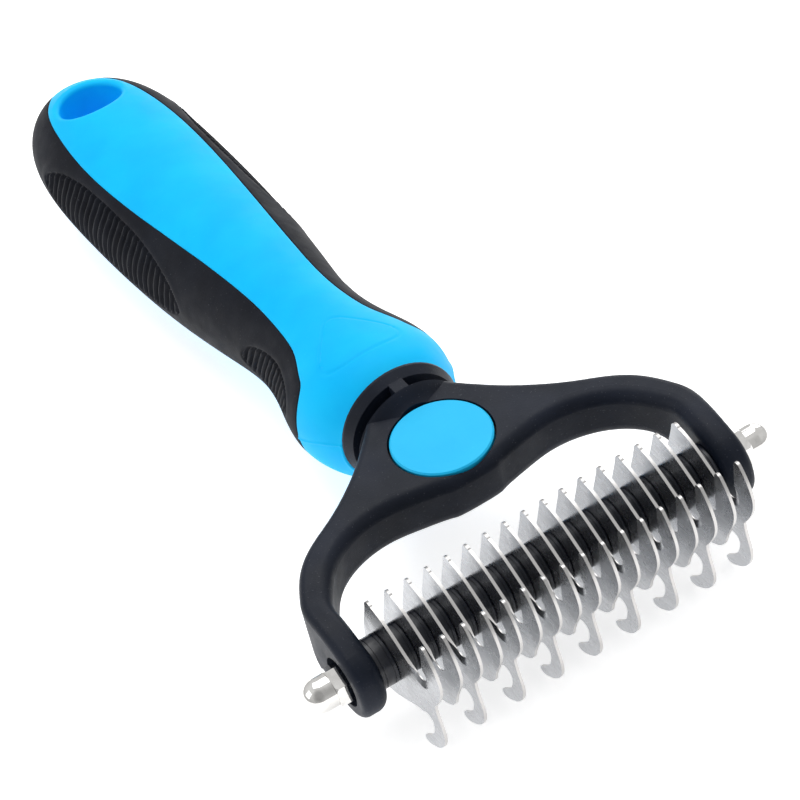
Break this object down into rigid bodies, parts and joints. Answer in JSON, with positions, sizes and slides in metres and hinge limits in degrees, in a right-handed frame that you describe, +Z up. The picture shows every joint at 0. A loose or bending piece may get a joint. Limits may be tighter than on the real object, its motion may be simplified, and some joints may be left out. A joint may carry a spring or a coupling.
{
  "type": "undercoat rake",
  "caption": "Hand-held pet grooming rake: toothed blades and spacers clamped on a rod across a stirrup head, with a soft two-tone handle and a hanging hole.",
  "frame": {"origin": "middle of the tool's footprint, on the table it rests on", "axes": "+X along the blade rod, +Y from the blades towards the handle's end, +Z up: the face with the badge is on top"},
  "size_m": [0.1016, 0.2196, 0.0317],
  "materials": {
    "head_plastic": "satin black moulding with a fine grain",
    "badge_blue": "satin",
    "handle_blue": "soft matte",
    "grip_black": "soft matte",
    "blade_steel": "satin faces with polished edges",
    "spacer_black": "semi-gloss",
    "rod_steel": "bright",
    "washer_steel": "bright",
    "nut_chrome": "polished"
  },
  "bodies": {
    "rake": {"head_frame": "head_plastic", "head_badge": "badge_blue", "handle_body": "handle_blue", "side_grip_left": "grip_black", "side_grip_right": "grip_black", "blade_rod": "rod_steel", "blade_01": "blade_steel", "blade_02": "blade_steel", "blade_03": "blade_steel", "blade_04": "blade_steel", "blade_05": "blade_steel", "blade_06": "blade_steel", "blade_07": "blade_steel", "blade_08": "blade_steel", "blade_09": "blade_steel", "blade_10": "blade_steel", "blade_11": "blade_steel", "blade_12": "blade_steel", "blade_13": "blade_steel", "blade_14": "blade_steel", "blade_15": "blade_steel", "blade_16": "blade_steel", "blade_17": "blade_steel", "spacer_01": "spacer_black", "spacer_02": "spacer_black", "spacer_03": "spacer_black", "spacer_04": "spacer_black", "spacer_05": "spacer_black", "spacer_06": "spacer_black", "spacer_07": "spacer_black", "spacer_08": "spacer_black", "spacer_09": "spacer_black", "spacer_10": "spacer_black", "spacer_11": "spacer_black", "spacer_12": "spacer_black", "spacer_13": "spacer_black", "spacer_14": "spacer_black", "spacer_15": "spacer_black", "spacer_16": "spacer_black", "spacer_17": "spacer_black", "spacer_18": "spacer_black"},
    "left_washer": {"washer_left": "washer_steel"},
    "left_nut": {"cap_nut_left": "nut_chrome"},
    "right_washer": {"washer_right": "washer_steel"},
    "right_nut": {"cap_nut_right": "nut_chrome"}
  },
  "joints": [
    {"name": "left_nut_travel", "type": "slide", "parent": "rake", "child": "left_washer", "axis": [-1, 0, 0], "range_m": [0, 0.007]},
    {"name": "left_nut_turn", "type": "hinge", "parent": "left_washer", "child": "left_nut", "pos_m": [-0.0414, -0.08745, 0.01495], "axis": [-1, 0, 0], "range_deg": [0, 3601]},
    {"name": "right_nut_travel", "type": "slide", "parent": "rake", "child": "right_washer", "axis": [1, 0, 0], "range_m": [0, 0.007]},
    {"name": "right_nut_turn", "type": "hinge", "parent": "right_washer", "child": "right_nut", "pos_m": [0.0414, -0.08745, 0.01495], "axis": [1, 0, 0], "range_deg": [0, 3601]}
  ],
  "couplings": [
    {"joint": "left_nut_turn", "follows": "left_nut_travel", "rad_per_m": 8976},
    {"joint": "right_nut_turn", "follows": "right_nut_travel", "rad_per_m": 8976}
  ]
}
